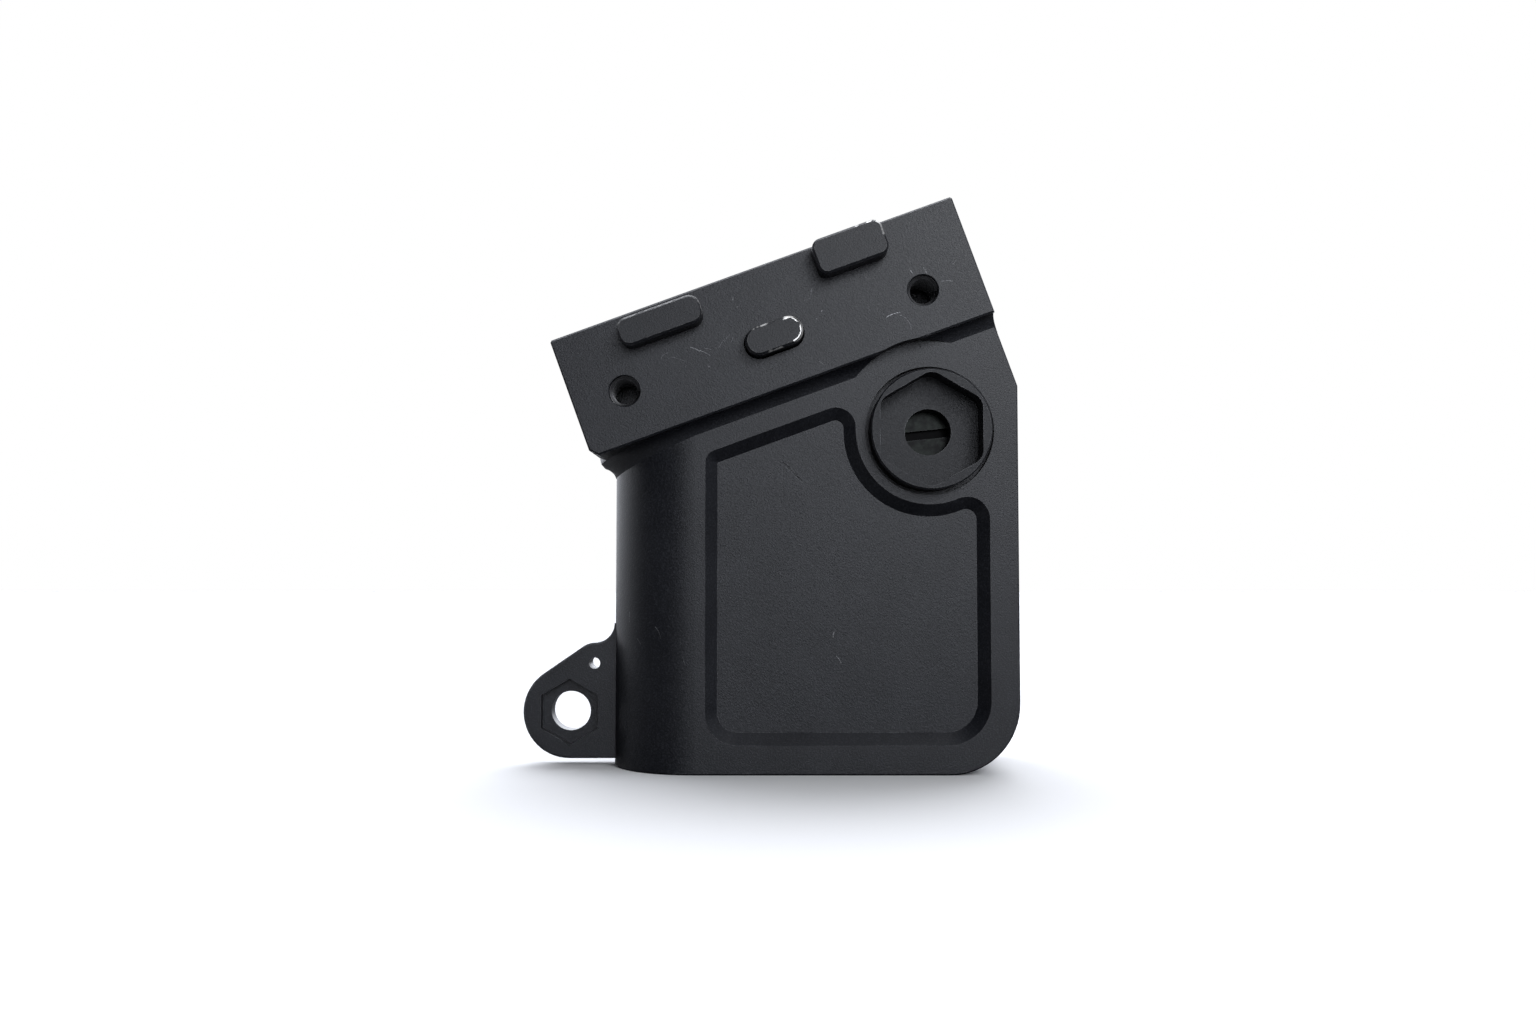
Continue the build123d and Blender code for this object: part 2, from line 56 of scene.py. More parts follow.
print("frame loaded:", len(frame["nodes"]), "nodes")


# Small helpers for node trees

def newMaterial(name):
    material = bpy.data.materials.new(name)
    material.use_nodes = True
    material.node_tree.nodes.clear()
    return material, material.node_tree


def link(tree, value, socket):
    # a socket is wired, anything else is set as the value
    if isinstance(value, bpy.types.NodeSocket):
        tree.links.new(value, socket)
    else:
        socket.default_value = value


def math1(tree, operation, a, b=0.0, clamp=False):
    node = tree.nodes.new("ShaderNodeMath")
    node.operation = operation
    node.use_clamp = clamp
    link(tree, a, node.inputs[0])
    link(tree, b, node.inputs[1])
    return node.outputs[0]


def vector1(tree, operation, a, b=(0.0, 0.0, 0.0), output="Vector"):
    node = tree.nodes.new("ShaderNodeVectorMath")
    node.operation = operation
    link(tree, a, node.inputs[0])
    link(tree, b, node.inputs[1])
    return node.outputs[output]


def ramp(tree, value, low, high, outLow=0.0, outHigh=1.0):
    # smooth step from low to high
    node = tree.nodes.new("ShaderNodeMapRange")
    node.interpolation_type = "SMOOTHSTEP"
    link(tree, value, node.inputs["Value"])
    node.inputs["From Min"].default_value = low
    node.inputs["From Max"].default_value = high
    node.inputs["To Min"].default_value = outLow
    node.inputs["To Max"].default_value = outHigh
    return node.outputs["Result"]


def noise(tree, coords, size, detail=2.0, roughness=0.5):
    # size is the width of one feature, in millimetres
    node = tree.nodes.new("ShaderNodeTexNoise")
    link(tree, coords, node.inputs["Vector"])
    node.inputs["Scale"].default_value = 1.0 / (size * mm)
    node.inputs["Detail"].default_value = detail
    node.inputs["Roughness"].default_value = roughness
    return node.outputs["Fac"]


def mixColor(tree, share, a, b):
    node = tree.nodes.new("ShaderNodeMix")
    node.data_type = "RGBA"
    link(tree, share, node.inputs["Factor"])
    link(tree, a, node.inputs["A"])
    link(tree, b, node.inputs["B"])
    return node.outputs["Result"]


def objectCoords(tree):
    return tree.nodes.new("ShaderNodeTexCoord").outputs["Object"]


def placed(tree, coords, center, tilt=0.0):
    # coordinates measured from center, turned with the plate, in millimetres
    node = tree.nodes.new("ShaderNodeMapping")
    node.vector_type = "TEXTURE"
    link(tree, coords, node.inputs["Vector"])
    node.inputs["Location"].default_value = center
    node.inputs["Rotation"].default_value = (0.0, -math.radians(tilt), 0.0)
    node.inputs["Scale"].default_value = (mm, mm, mm)
    return node.outputs["Vector"]


def edgeMask(tree, radius):
    # 1 on convex edges, found by comparing the surface with its rounded self
    bevel = tree.nodes.new("ShaderNodeBevel")
    bevel.samples = 4
    bevel.inputs["Radius"].default_value = radius * mm
    flat = tree.nodes.new("ShaderNodeNewGeometry").outputs["Normal"]
    alike = vector1(tree, "DOT_PRODUCT", bevel.outputs["Normal"], flat, "Value")
    return ramp(tree, alike, 0.995, 0.90)


def addBump(tree, height, strength, distance, under=None):
    node = tree.nodes.new("ShaderNodeBump")
    link(tree, height, node.inputs["Height"])
    node.inputs["Strength"].default_value = strength
    node.inputs["Distance"].default_value = distance * mm
    if under is not None:
        link(tree, under, node.inputs["Normal"])
    return node.outputs["Normal"]


def shader(tree, color, roughness, metallic, normal, specular=0.5):
    node = tree.nodes.new("ShaderNodeBsdfPrincipled")
    link(tree, color, node.inputs["Base Color"])
    link(tree, roughness, node.inputs["Roughness"])
    link(tree, metallic, node.inputs["Metallic"])
    link(tree, normal, node.inputs["Normal"])
    node.inputs["Specular IOR Level"].default_value = specular
    out = tree.nodes.new("ShaderNodeOutputMaterial")
    tree.links.new(node.outputs["BSDF"], out.inputs["Surface"])
    return node


# The plate's own axes: u along it, v up across it, measured from its left thread

# step is how far the plate stands out of the body's front, panel how deep the panel lies behind that front
plate = {"tilt": 20.0, "frontY": mounts["plate_face"]["pos_m"][1], "step": 3.5, "panel": 2.0, "skin": 0.3}
leftThread = Vector(mounts["left_plate_thread"]["pos_m"])
plateStart = Vector((leftThread.x, plate["frontY"], leftThread.z))

anodised = {
    "color": (0.0048, 0.0054, 0.0080, 1.0),
    "light": (0.036, 0.038, 0.045, 1.0),
    "worn": (0.11, 0.11, 0.115, 1.0),
    "scratch": (0.27, 0.27, 0.28, 1.0),
    "roughness": (0.36, 0.46),
    "specular": 0.42,
    "grain": 0.30,
    "blotch": 9.0,
    "edge": 0.16,
    "noseDepth": 6.0,
}

# at: u, v of the middle; heading and length along it; bend is its radius; all in millimetres and degrees
scratches = [
    {"at": (8.3, 3.5), "heading": 20, "length": 1.6, "bend": 1.6, "width": 0.05, "strength": 0.5},
    {"at": (10.4, 2.0), "heading": -38, "length": 2.4, "bend": 8.0, "width": 0.05, "strength": 0.35},
    {"at": (13.6, 2.6), "heading": -42, "length": 1.8, "bend": 6.0, "width": 0.10, "strength": 0.75},
    {"at": (14.9, 1.5), "heading": -46, "length": 2.0, "bend": 9.0, "width": 0.08, "strength": 0.85},
    {"at": (15.6, 1.9), "heading": -28, "length": 1.2, "bend": 9.0, "width": 0.05, "strength": 0.5},
    {"at": (14.8, -1.0), "heading": 10, "length": 0.35, "bend": 5.0, "width": 0.14, "strength": 1.0},
    {"at": (18.2, 2.1), "heading": 32, "length": 2.3, "bend": 5.0, "width": 0.04, "strength": 0.5},
    {"at": (19.2, 2.5), "heading": 36, "length": 1.9, "bend": 7.0, "width": 0.04, "strength": 0.45},
    {"at": (20.0, 2.0), "heading": 48, "length": 1.2, "bend": 7.0, "width": 0.05, "strength": 0.4},
    {"at": (22.4, 8.4), "heading": 62, "length": 0.5, "bend": 5.0, "width": 0.09, "strength": 0.6},
    {"at": (22.7, 6.9), "heading": 5, "length": 0.3, "bend": 5.0, "width": 0.10, "strength": 0.7},
    {"at": (35.2, 5.0), "heading": 62, "length": 1.5, "bend": 2.4, "width": 0.06, "strength": 0.55},
    {"at": (34.2, 4.1), "heading": -2, "length": 1.2, "bend": 3.0, "width": 0.05, "strength": 0.4},
    {"at": (35.8, 1.4), "heading": 40, "length": 0.3, "bend": 5.0, "width": 0.11, "strength": 0.7},
    {"at": (34.5, 0.4), "heading": 40, "length": 0.25, "bend": 5.0, "width": 0.10, "strength": 0.6},
    {"at": (32.7, -6.8), "heading": -58, "length": 0.9, "bend": 5.0, "width": 0.05, "strength": 0.5},
    {"at": (52.3, 2.6), "heading": -72, "length": 1.0, "bend": 9.0, "width": 0.06, "strength": 0.8},
    {"at": (54.6, 1.9), "heading": -78, "length": 1.2, "bend": 9.0, "width": 0.05, "strength": 0.7},
    {"at": (57.4, -1.0), "heading": -18, "length": 2.0, "bend": 6.0, "width": 0.06, "strength": 0.65},
    {"at": (59.7, 1.5), "heading": 32, "length": 1.0, "bend": 2.0, "width": 0.05, "strength": 0.4},
    {"at": (46.9, -3.2), "heading": 0, "length": 2.4, "bend": 4.5, "width": 0.10, "strength": 1.0},
    {"at": (48.9, -5.1), "heading": -72, "length": 3.4, "bend": 2.6, "width": 0.05, "strength": 0.6},
    {"at": (51.4, -8.5), "heading": -2, "length": 0.8, "bend": 9.0, "width": 0.08, "strength": 0.7},
]
# the same, with x and z measured from the middle of the base
panelScratches = [
    {"at": (3.5, 23.6), "heading": 80, "length": 1.1, "bend": 1.2, "width": 0.09, "strength": 0.9},
    {"at": (4.5, 19.4), "heading": -55, "length": 1.5, "bend": 3.0, "width": 0.07, "strength": 0.75},
    {"at": (-5.5, 34.0), "heading": 70, "length": 0.6, "bend": 3.0, "width": 0.05, "strength": 0.4},
]
noseScratches = [
    {"at": (-26.2, 24.0), "heading": -65, "length": 2.3, "bend": 3.0, "width": 0.07, "strength": 0.7},
    {"at": (-29.8, 22.4), "heading": -55, "length": 1.2, "bend": 3.0, "width": 0.05, "strength": 0.4},
    {"at": (-31.7, 26.5), "heading": 88, "length": 1.8, "bend": 9.0, "width": 0.06, "strength": 0.4},
    {"at": (-22.5, 22.5), "heading": 95, "length": 1.1, "bend": 6.0, "width": 0.05, "strength": 0.3},
    {"at": (-21.9, 19.3), "heading": 104, "length": 1.4, "bend": 4.0, "width": 0.06, "strength": 0.4},
]


def scratchMask(tree, coords, marks, breakUp):
    # each mark is a stretch of a ring round a center beside it
    flat = vector1(tree, "MULTIPLY", coords, (1.0, 0.0, 1.0))
    total = None
    for mark in marks:
        heading = math.radians(mark["heading"])
        side = Vector((-math.sin(heading), 0.0, math.cos(heading)))
        middle = Vector((mark["at"][0], 0.0, mark["at"][1]))
        center = middle - side * mark["bend"]
        away = vector1(tree, "SUBTRACT", flat, tuple(center))
        far = vector1(tree, "LENGTH", away, output="Value")
        off = math1(tree, "ABSOLUTE", math1(tree, "SUBTRACT", far, mark["bend"]))
        line = ramp(tree, off, mark["width"], mark["width"] * 0.3, 0.0, mark["strength"])
        reach = math.cos(min(mark["length"] / 2 / mark["bend"], math.pi))
        toward = vector1(tree, "DOT_PRODUCT", vector1(tree, "NORMALIZE", away), tuple(side), "Value")
        line = math1(tree, "MULTIPLY", line, math1(tree, "GREATER_THAN", toward, reach))
        total = line if total is None else math1(tree, "MAXIMUM", total, line)
    return math1(tree, "MULTIPLY", total, breakUp)


def onDepth(tree, coords, low, high):
    # 1 between two depths, in metres
    depth = tree.nodes.new("ShaderNodeSeparateXYZ")
    link(tree, coords, depth.inputs[0])
    after = math1(tree, "GREATER_THAN", depth.outputs["Y"], low)
    return math1(tree, "MULTIPLY", after, math1(tree, "LESS_THAN", depth.outputs["Y"], high))


def anodisedMaterial(name, look, marked=False):
    material, tree = newMaterial(name)
    coords = objectCoords(tree)
    grain = noise(tree, coords, look["grain"], 3.0, 0.6)
    fine = noise(tree, coords, look["grain"] * 0.45, 1.0)
    blotch = noise(tree, coords, look["blotch"], 3.0)
    speckle = ramp(tree, grain, 0.46, 0.70)
    shade = math1(tree, "MULTIPLY", speckle, 0.42)
    shade = math1(tree, "ADD", shade, ramp(tree, blotch, 0.35, 0.7, 0.0, 0.12))
    color = mixColor(tree, shade, look["color"], look["light"])
    wear = math1(tree, "MULTIPLY", edgeMask(tree, look["edge"]), ramp(tree, blotch, 0.42, 0.62))
    wear = math1(tree, "MULTIPLY", wear, ramp(tree, grain, 0.40, 0.62, 0.25, 0.9))
    color = mixColor(tree, wear, color, look["worn"])
    scratch = 0.0
    if marked:
        breakUp = ramp(tree, noise(tree, coords, 0.22, 2.0), 0.36, 0.56, 0.15, 1.0)
        skin = plate["skin"] * mm
        bodyY = plate["frontY"] + plate["step"] * mm
        panelY = bodyY + plate["panel"] * mm
        onPlate = placed(tree, coords, plateStart, plate["tilt"])
        onBody = placed(tree, coords, (0.0, 0.0, 0.0))
        plateLines = scratchMask(tree, onPlate, scratches, breakUp)
        panelLines = scratchMask(tree, onBody, panelScratches, breakUp)
        noseLines = scratchMask(tree, onBody, noseScratches, breakUp)
        onFace = onDepth(tree, coords, plate["frontY"] - skin, plate["frontY"] + skin)
        onPanel = onDepth(tree, coords, panelY - skin, panelY + skin)
        onNose = onDepth(tree, coords, bodyY - skin, bodyY + look["noseDepth"] * mm)
        plateLines = math1(tree, "MULTIPLY", plateLines, onFace)
        panelLines = math1(tree, "MULTIPLY", panelLines, onPanel)
        noseLines = math1(tree, "MULTIPLY", noseLines, onNose)
        scratch = math1(tree, "MAXIMUM", math1(tree, "MAXIMUM", plateLines, panelLines), noseLines)
        color = mixColor(tree, scratch, color, look["scratch"])
    rough = ramp(tree, grain, 0.3, 0.7, look["roughness"][0], look["roughness"][1])
    bare = math1(tree, "MULTIPLY", math1(tree, "ADD", scratch, math1(tree, "MULTIPLY", wear, 0.5)), 0.7, True)
    normal = addBump(tree, grain, 0.55, 0.075)
    normal = addBump(tree, fine, 0.30, 0.030, normal)
    shader(tree, color, rough, bare, normal, look["specular"])
    return material


# Tool steel keys, blackened, with bright wear on their front edges

key = {
    "color": (0.0070, 0.0076, 0.0100, 1.0),
    "light": (0.032, 0.033, 0.040, 1.0),
    "bare": (0.62, 0.61, 0.59, 1.0),
    "roughness": (0.36, 0.46),
    "specular": 0.38,
    "grain": 0.30,
    "patch": 0.9,
    "edge": 0.14,
}
# worn: direction of the worn side seen from the front, how far round it goes, how wide and how strong
keys = {
    "left_locating_key": {"size": (14.5, 4.8), "radius": 1.9,
                          "worn": [{"toward": 95, "spread": 0.25, "wide": 0.16, "strength": 0.32},
                                   {"toward": 20, "spread": 0.80, "wide": 0.14, "strength": 0.35}]},
    "right_locating_key": {"size": (12.3, 6.1), "radius": 1.6,
                           "worn": [{"toward": 28, "spread": 0.96, "wide": 0.30, "strength": 0.8}]},
    "lock_key": {"size": (10.0, 4.8), "radius": 2.4,
                 "worn": [{"toward": 2, "spread": 0.78, "wide": 0.46, "strength": 1.0},
                          {"toward": 118, "spread": 0.97, "wide": 0.24, "strength": 0.8},
                          {"toward": 262, "spread": 0.90, "wide": 0.20, "strength": 0.5}]},
}


def keyMaterial(name, node, shape):
    material, tree = newMaterial(name)
    coords = objectCoords(tree)
    low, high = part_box(node)
    faceY = low.y
    middle = (low + high) / 2
    local = placed(tree, coords, (middle.x, faceY, middle.z), plate["tilt"])
    grain = noise(tree, coords, key["grain"], 3.0, 0.6)
    patch = noise(tree, coords, key["patch"], 3.0)
    color = mixColor(tree, ramp(tree, grain, 0.52, 0.78, 0.0, 0.55), key["color"], key["light"])
    halfLong = shape["size"][0] / 2 - shape["radius"]
    halfWide = shape["size"][1] / 2 - shape["radius"]
    size = vector1(tree, "ABSOLUTE", vector1(tree, "MULTIPLY", local, (1.0, 0.0, 1.0)))
    corner = vector1(tree, "MAXIMUM", vector1(tree, "SUBTRACT", size, (halfLong, 0.0, halfWide)))
    inside = math1(tree, "SUBTRACT", shape["radius"], vector1(tree, "LENGTH", corner, output="Value"))
    around = vector1(tree, "NORMALIZE", vector1(tree, "MULTIPLY", local, (1.0, 0.0, 1.0)))
    depth = tree.nodes.new("ShaderNodeSeparateXYZ")
    link(tree, local, depth.inputs[0])
    nearFace = ramp(tree, depth.outputs["Y"], 0.55, 0.2)
    bare = None
    for spot in shape["worn"]:
        angle = math.radians(spot["toward"])
        toward = vector1(tree, "DOT_PRODUCT", around, (math.cos(angle), 0.0, math.sin(angle)), "Value")
        ragged = math1(tree, "ADD", toward, math1(tree, "MULTIPLY", math1(tree, "SUBTRACT", patch, 0.5), 0.5))
        side = ramp(tree, ragged, spot["spread"] - 0.06, spot["spread"] + 0.06)
        reach = math1(tree, "ADD", inside, math1(tree, "MULTIPLY", math1(tree, "SUBTRACT", patch, 0.5), -0.7))
        band = ramp(tree, reach, spot["wide"] + 0.04, spot["wide"] - 0.04, 0.0, spot["strength"])
        spotMask = math1(tree, "MULTIPLY", side, band)
        bare = spotMask if bare is None else math1(tree, "MAXIMUM", bare, spotMask)
    bare = math1(tree, "MULTIPLY", bare, nearFace)
    bare = math1(tree, "MULTIPLY", bare, ramp(tree, grain, 0.30, 0.46, 0.4, 1.0))
    rubbed = math1(tree, "MULTIPLY", edgeMask(tree, key["edge"]), ramp(tree, patch, 0.45, 0.62, 0.0, 0.22))
    bare = math1(tree, "MAXIMUM", bare, rubbed)
    color = mixColor(tree, bare, color, key["bare"])
    rough = ramp(tree, grain, 0.3, 0.7, key["roughness"][0], key["roughness"][1])
    rough = math1(tree, "SUBTRACT", rough, math1(tree, "MULTIPLY", bare, 0.12))
    normal = addBump(tree, grain, 0.55, 0.07)
    shader(tree, color, rough, bare, normal, key["specular"])
    return material


# Turned and blackened bush, with faint lathe rings round its axis

bush = {
    "color": (0.0080, 0.0086, 0.0110, 1.0),
    "light": (0.028, 0.029, 0.034, 1.0),
    "worn": (0.14, 0.14, 0.145, 1.0),
    "roughness": 0.42,
    "specular": 0.30,
    "ring": 0.16,
    "grain": 0.3,
    "patch": 2.2,
    "edge": 0.15,
}


def turnedMaterial(name, look, centerX, centerZ):
    material, tree = newMaterial(name)
    coords = objectCoords(tree)
    local = placed(tree, coords, (centerX, 0.0, centerZ))
    flat = vector1(tree, "MULTIPLY", local, (1.0, 0.0, 1.0))
    radius = vector1(tree, "LENGTH", flat, output="Value")
    grain = noise(tree, coords, look["grain"], 3.0, 0.6)
    wobble = math1(tree, "ADD", radius, math1(tree, "MULTIPLY", grain, 0.05))
    rings = math1(tree, "SINE", math1(tree, "MULTIPLY", wobble, 2 * math.pi / look["ring"]))
    rings = math1(tree, "MULTIPLY_ADD", rings, 0.5)  # the node adds its own 0.5, so 0 to 1
    patch = noise(tree, coords, look["patch"], 3.0)
    color = mixColor(tree, ramp(tree, grain, 0.5, 0.78, 0.0, 0.55), look["color"], look["light"])
    wear = math1(tree, "MULTIPLY", edgeMask(tree, look["edge"]), ramp(tree, patch, 0.40, 0.62, 0.1, 0.8))
    color = mixColor(tree, wear, color, look["worn"])
    rough = ramp(tree, grain, 0.3, 0.7, look["roughness"] - 0.05, look["roughness"] + 0.06)
    normal = addBump(tree, rings, 0.10, 0.006)
    normal = addBump(tree, grain, 0.50, 0.06, normal)
    bare = math1(tree, "MULTIPLY", wear, 0.5)
    shader(tree, color, rough, bare, normal, look["specular"])
    return material


# Metals of the screws, springs, pins and inserts

metals = {
    # plated: dark plated steel, made darker still as painted shade for the screw head lying deep in the bush
    # hole
    "plated": {"color": (0.010, 0.011, 0.010, 1.0), "dull": (0.006, 0.006, 0.006, 1.0),
               "roughness": (0.22, 0.27), "grain": 0.5, "rub": 0.05},
    "blackOxide": {"color": (0.040, 0.040, 0.043, 1.0), "dull": (0.020, 0.020, 0.022, 1.0),
                   "roughness": (0.32, 0.48), "grain": 0.2, "rub": 0.3},
    "springWire": {"color": (0.42, 0.42, 0.43, 1.0), "dull": (0.25, 0.25, 0.26, 1.0),
                   "roughness": (0.22, 0.36), "grain": 0.3, "rub": 0.5},
    "groundSteel": {"color": (0.50, 0.50, 0.50, 1.0), "dull": (0.34, 0.34, 0.35, 1.0),
                    "roughness": (0.20, 0.34), "grain": 0.12, "rub": 0.5},
    "dryFilm": {"color": (0.090, 0.090, 0.094, 1.0), "dull": (0.050, 0.050, 0.053, 1.0),
                "roughness": (0.34, 0.5), "grain": 0.15, "rub": 0.5},
}
metalWear = {"cloud": 1.6, "edge": 0.10, "color": (0.55, 0.55, 0.55, 1.0)}
# painted shade: the screw's slot is coloured near black from just under its face to its floor, where the slot
# lies in shade
slotPaintedShade = {"from": 0.1, "to": 1.8, "color": (0.002, 0.002, 0.002, 1.0)}


def metalMaterial(name, look, shadeFrom=None, shadeTo=None):
    # painted shade: near black between the two given depths along y
    material, tree = newMaterial(name)
    coords = objectCoords(tree)
    stretched = vector1(tree, "MULTIPLY", coords, (1.0, 0.25, 1.0))
    grain = noise(tree, stretched, look["grain"], 4.0, 0.6)
    cloud = noise(tree, coords, metalWear["cloud"], 3.0)
    color = mixColor(tree, ramp(tree, cloud, 0.35, 0.68), look["color"], look["dull"])
    rubbed = ramp(tree, cloud, 0.4, 0.6, 0.0, look["rub"])
    rubbed = math1(tree, "MULTIPLY", edgeMask(tree, metalWear["edge"]), rubbed)
    color = mixColor(tree, rubbed, color, metalWear["color"])
    if shadeFrom is not None:
        # painted shade: the near black band stands in for the shade in the screw's slot
        color = mixColor(tree, onDepth(tree, coords, shadeFrom, shadeTo), color, slotPaintedShade["color"])
    rough = ramp(tree, grain, 0.3, 0.7, look["roughness"][0], look["roughness"][1])
    normal = addBump(tree, grain, 0.2, 0.012)
    shader(tree, color, rough, 1.0, normal)
    return material


bushLow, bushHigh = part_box("hex_bush")
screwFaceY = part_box("captive_screw")[0].y
bushX = (bushLow.x + bushHigh.x) / 2
bushZ = (bushLow.z + bushHigh.z) / 2
finishes = {
    "bodyFinish": anodisedMaterial("blasted anodised body", anodised, marked=True),
    "coverFinish": anodisedMaterial("anodised cover", dict(anodised, grain=0.12, blotch=6.0)),
    "bushFinish": turnedMaterial("turned black bush", bush, bushX, bushZ),
    # the plated screw's material carries painted shade in its slot band
    "plated": metalMaterial("plated screw", metals["plated"], screwFaceY + slotPaintedShade["from"] * mm,
                            screwFaceY + slotPaintedShade["to"] * mm),
    "blackOxide": metalMaterial("black oxide screw", metals["blackOxide"]),
    "springWire": metalMaterial("spring wire", metals["springWire"]),
    "groundSteel": metalMaterial("ground steel", metals["groundSteel"]),
    "dryFilm": metalMaterial("dry film thread", metals["dryFilm"]),
}
for node, shape in keys.items():
    finishes[node] = keyMaterial(node + " finish", node, shape)

finishOf = {
    "block_body": "bodyFinish", "rear_cover": "coverFinish", "key_bay_cover": "coverFinish",
    "left_locating_key": "left_locating_key", "right_locating_key": "right_locating_key",
    "lock_key": "lock_key", "hex_bush": "bushFinish",
    "captive_screw": "plated", "captive_washer": "groundSteel", "guide_sleeve": "groundSteel",
    "captive_screw_spring": "springWire", "lock_key_spring": "springWire",
    "spring_retainer": "groundSteel", "rear_cover_dowels": "groundSteel",
    "spring_retainer_screws": "blackOxide", "locating_key_screws": "blackOxide",
    "rear_cover_screws": "blackOxide", "key_bay_cover_screws": "blackOxide",
    "left_thread_insert": "dryFilm", "right_thread_insert": "dryFilm",
}
for node, finish in finishOf.items():
    piece = frame["nodes"][node]
    piece.data.materials.clear()
    piece.data.materials.append(finishes[finish])
print("finishes:", len(finishes))


# Thread inserts: a coil of wire with a diamond section lines each hole

coil = {"pitch": 0.8, "stepsPerTurn": 40, "innerRadius": 2.1, "outerRadius": 2.6, "spare": 0.02,
        "crest": 0.1, "flank": 0.6}


def threadCoil(name, node):
    low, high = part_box(node)
    center = (low + high) / 2
    half = coil["pitch"] / 2 - coil["spare"]
    startY = low.y + half * mm
    turns = ((high.y - low.y) / mm - 2 * half) / coil["pitch"]
    steps = round(turns * coil["stepsPerTurn"])
    mesh = bmesh.new()
    middle = (coil["innerRadius"] + coil["outerRadius"]) / 2
    crest = coil["crest"]
    flank = coil["flank"] * half
    section = [(coil["innerRadius"], -crest), (coil["innerRadius"], crest), (middle, flank),
               (coil["outerRadius"], half), (coil["outerRadius"], -half), (middle, -flank)]
    corners = [mesh.verts.new((center.x + r * mm, startY + y * mm, center.z)) for r, y in section]
    face = mesh.faces.new(corners)
    bmesh.ops.spin(mesh, geom=[face, *face.edges, *face.verts], cent=(center.x, startY, center.z),
                   axis=(0, -1, 0), dvec=(0, coil["pitch"] * turns / steps * mm, 0),
                   angle=2 * math.pi * turns, steps=steps, use_merge=False, use_duplicate=False)
    bmesh.ops.remove_doubles(mesh, verts=mesh.verts, dist=0.0005 * mm)
    bmesh.ops.recalc_face_normals(mesh, faces=mesh.faces)
    data = bpy.data.meshes.new(name)
    mesh.to_mesh(data)
    mesh.free()
    piece = bpy.data.objects.new(name, data)
    bpy.context.scene.collection.objects.link(piece)
    data.materials.append(finishes["dryFilm"])
    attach(piece, "block")
    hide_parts(node)
    return piece


threadCoil("leftThreadCoil", "left_thread_insert")
threadCoil("rightThreadCoil", "right_thread_insert")
print("thread coils made")


# Springs: round wire wound between what it pushes and what it stands on

springs = {
    "lock_key_spring": {"name": "lockKeyCoil", "wire": 0.7, "turns": 5.0,
                        "joint": "lock_key_press", "travel": 2.8},
    "captive_screw_spring": {"name": "captiveScrewCoil", "wire": 0.8, "turns": 5.0,
                             "joint": "captive_screw_push", "travel": 6.5},
}
winding = {"stepsPerTurn": 48, "sides": 12, "spare": 0.01}


def springCoil(node, look):
    low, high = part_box(node)
    center = (low + high) / 2
    wire = look["wire"] / 2 * mm
    margin = winding["spare"] * mm
    middle = (high.x - low.x) / 2 - wire - margin
    startY = low.y + wire + margin
    rise = (high.y - low.y) - 2 * (wire + margin)
    steps = round(look["turns"] * winding["stepsPerTurn"])
    mesh = bmesh.new()
    place = Matrix.Translation((center.x + middle, startY, center.z))
    bmesh.ops.create_circle(mesh, cap_ends=True, segments=winding["sides"], radius=wire, matrix=place)
    bmesh.ops.spin(mesh, geom=mesh.faces[:] + mesh.edges[:] + mesh.verts[:],
                   cent=(center.x, startY, center.z), axis=(0, -1, 0), dvec=(0, rise / steps, 0),
                   angle=2 * math.pi * look["turns"], steps=steps, use_merge=False, use_duplicate=False)
    bmesh.ops.remove_doubles(mesh, verts=mesh.verts, dist=0.0005 * mm)
    bmesh.ops.recalc_face_normals(mesh, faces=mesh.faces)
    for face in mesh.faces:
        face.smooth = len(face.verts) == 4
    data = bpy.data.meshes.new(look["name"])
    mesh.to_mesh(data)
    mesh.free()
    piece = bpy.data.objects.new(look["name"], data)
    bpy.context.scene.collection.objects.link(piece)
    data.materials.append(finishes["springWire"])
    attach(piece, "block")
    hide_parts(node)
    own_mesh(piece)
    return piece


for node, look in springs.items():
    springCoil(node, look)
print("springs made")


# Floor, lights and camera

# the bounce is what the floor gives back to the object, as a small table in a dark room does
floor = {"size": 6.0, "color": (0.70, 0.70, 0.70, 1.0), "cloudColor": (0.72, 0.72, 0.72, 1.0), "cloud": 120.0,
         "bounce": (0.10, 0.10, 0.10, 1.0)}


def makeFloor():
    mesh = bmesh.new()
    bmesh.ops.create_grid(mesh, x_segments=1, y_segments=1, size=floor["size"] / 2)
    data = bpy.data.meshes.new("floor")
    mesh.to_mesh(data)
    mesh.free()
    piece = bpy.data.objects.new("floor", data)
    bpy.context.scene.collection.objects.link(piece)
    material, tree = newMaterial("pale floor")
    coords = objectCoords(tree)
    cloud = noise(tree, coords, floor["cloud"], 2.0)
    color = mixColor(tree, ramp(tree, cloud, 0.3, 0.7), floor["color"], floor["cloudColor"])
    seen = tree.nodes.new("ShaderNodeLightPath").outputs["Is Camera Ray"]
    color = mixColor(tree, seen, floor["bounce"], color)
    shader(tree, color, 0.9, 0.0, addBump(tree, cloud, 0.02, 0.1), 0.0)
    data.materials.append(material)


# toward: where the light comes from; wide: degrees from its middle where it has faded out
lobes = [
    {"toward": (0.10, 0.10, 1.0), "full": 10, "wide": 50, "strength": 0.65},
    {"toward": (0.0, 0.85, 0.75), "full": 10, "wide": 50, "strength": 3.2},
    {"toward": (-0.12, 1.0, 0.05), "full": 52, "wide": 88, "strength": 1.6},
    {"toward": (0.15, -1.0, 0.12), "full": 3, "wide": 26, "strength": 3.9},
    {"toward": (1.0, -0.25, 0.15), "full": 10, "wide": 45, "strength": 0.5},
]
studio = {"ambient": 0.010, "background": 1.0, "sun": 0.5, "sunSoftness": 40.0, "sunTilt": (-8.0, 10.0),
          "tint": (0.95, 0.98, 1.06, 1.0)}
softbox = {"at": (0.26, -0.52, 0.38), "aim": (0.005, -0.015, 0.06), "wide": 0.26, "tall": 0.20,
           "power": 1.8, "color": (0.95, 0.975, 1.0)}


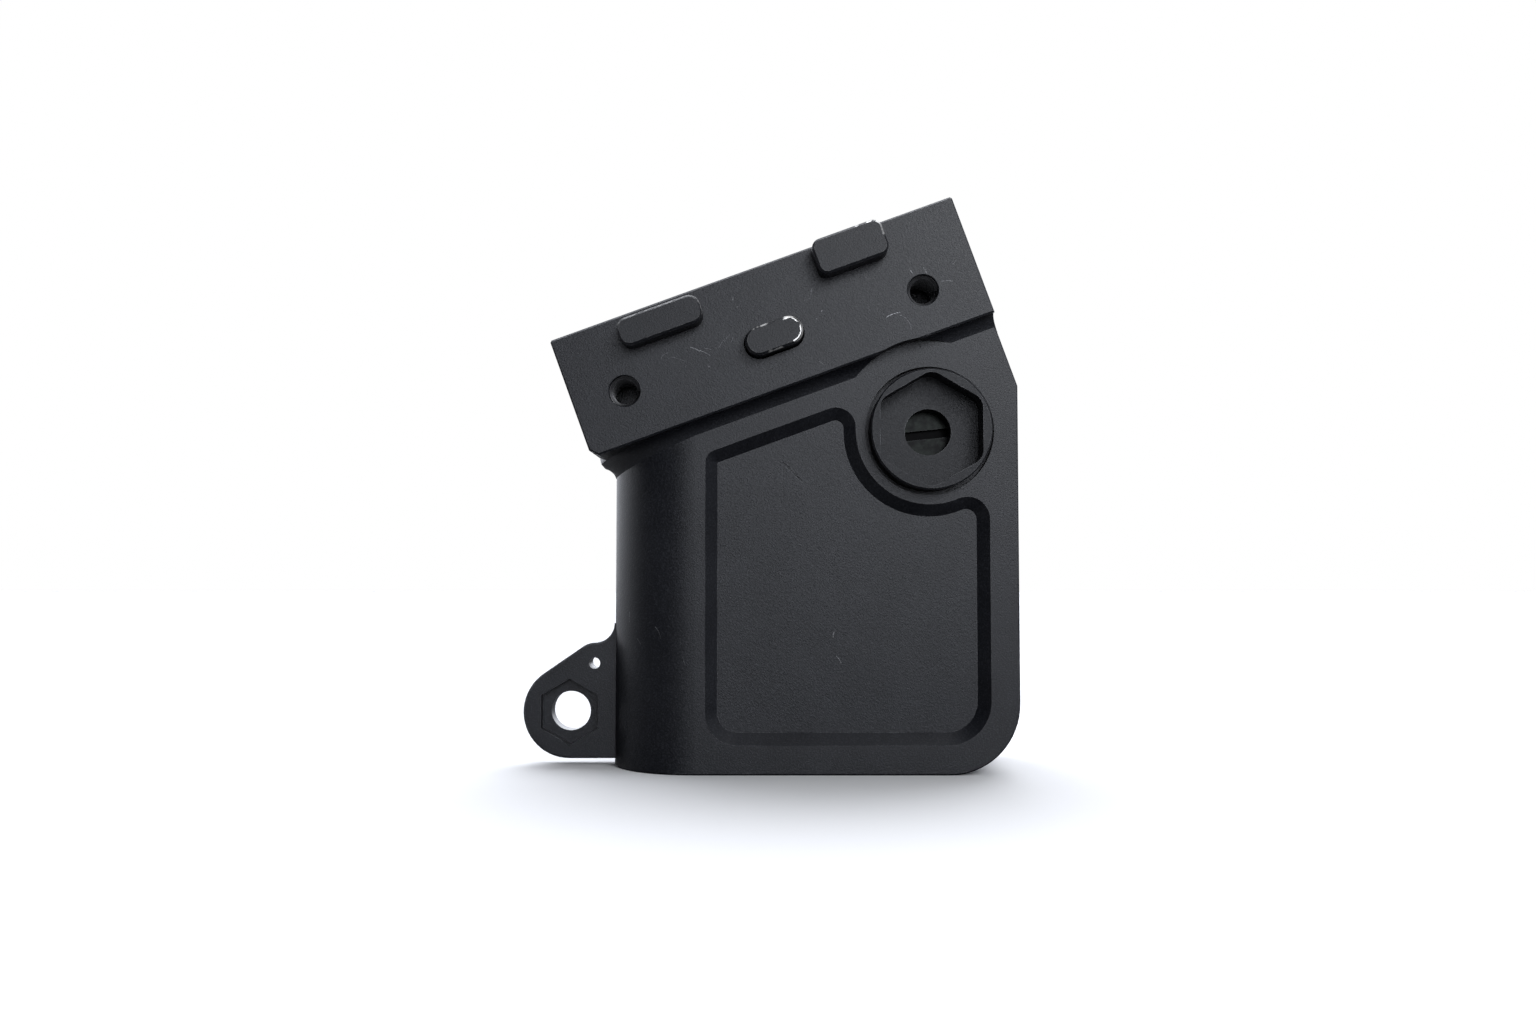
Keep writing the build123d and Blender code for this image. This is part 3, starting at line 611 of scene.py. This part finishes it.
def makeWorld():
    world = bpy.data.worlds.new("studio")
    bpy.context.scene.world = world
    world.use_nodes = True
    tree = world.node_tree
    tree.nodes.clear()
    direction = tree.nodes.new("ShaderNodeTexCoord").outputs["Generated"]
    direction = vector1(tree, "NORMALIZE", direction)
    total = studio["ambient"]
    for lobe in lobes:
        toward = Vector(lobe["toward"]).normalized()
        near = vector1(tree, "DOT_PRODUCT", direction, tuple(toward), "Value")
        fade = ramp(tree, near, math.cos(math.radians(lobe["wide"])), math.cos(math.radians(lobe["full"])),
                    0.0, lobe["strength"])
        total = math1(tree, "ADD", total, fade)
    seen = tree.nodes.new("ShaderNodeLightPath").outputs["Is Camera Ray"]
    lit = tree.nodes.new("ShaderNodeBackground")
    link(tree, total, lit.inputs["Strength"])
    plain = tree.nodes.new("ShaderNodeBackground")
    plain.inputs["Strength"].default_value = studio["background"]
    lit.inputs["Color"].default_value = studio["tint"]
    plain.inputs["Color"].default_value = (1.0, 1.0, 1.0, 1.0)
    mix = tree.nodes.new("ShaderNodeMixShader")
    tree.links.new(seen, mix.inputs[0])
    tree.links.new(lit.outputs[0], mix.inputs[1])
    tree.links.new(plain.outputs[0], mix.inputs[2])
    out = tree.nodes.new("ShaderNodeOutputWorld")
    tree.links.new(mix.outputs[0], out.inputs["Surface"])


def makeSun():
    data = bpy.data.lights.new("overhead", "SUN")
    data.energy = studio["sun"]
    data.angle = math.radians(studio["sunSoftness"])
    lamp = bpy.data.objects.new("overhead", data)
    lamp.rotation_euler = (math.radians(studio["sunTilt"][0]), math.radians(studio["sunTilt"][1]), 0.0)
    bpy.context.scene.collection.objects.link(lamp)


def makeKeyLight():
    data = bpy.data.lights.new("frontKey", "AREA")
    data.shape = "RECTANGLE"
    data.size = softbox["wide"]
    data.size_y = softbox["tall"]
    data.energy = softbox["power"]
    data.color = softbox["color"]
    lamp = bpy.data.objects.new("frontKey", data)
    lamp.location = softbox["at"]
    aim = Vector(softbox["aim"]) - Vector(softbox["at"])
    lamp.rotation_euler = aim.to_track_quat("-Z", "Y").to_euler()
    bpy.context.scene.collection.objects.link(lamp)


camera = {"at": (-7.63, -240.7, 33.24), "pitch": 92.84, "lens": 31.17, "sensor": 36.0, "clip": (0.01, 20.0)}


def makeCamera():
    data = bpy.data.cameras.new("camera")
    data.lens = camera["lens"]
    data.sensor_width = camera["sensor"]
    data.clip_start, data.clip_end = camera["clip"]
    eye = bpy.data.objects.new("camera", data)
    eye.location = Vector(camera["at"]) * mm
    eye.rotation_euler = (math.radians(camera["pitch"]), 0.0, 0.0)
    bpy.context.scene.collection.objects.link(eye)
    bpy.context.scene.camera = eye
    bpy.context.scene.view_settings.view_transform = "Standard"


makeFloor()
makeWorld()
makeSun()
makeKeyLight()
makeCamera()
print("floor, lights and camera made")

bpy.context.view_layer.update()
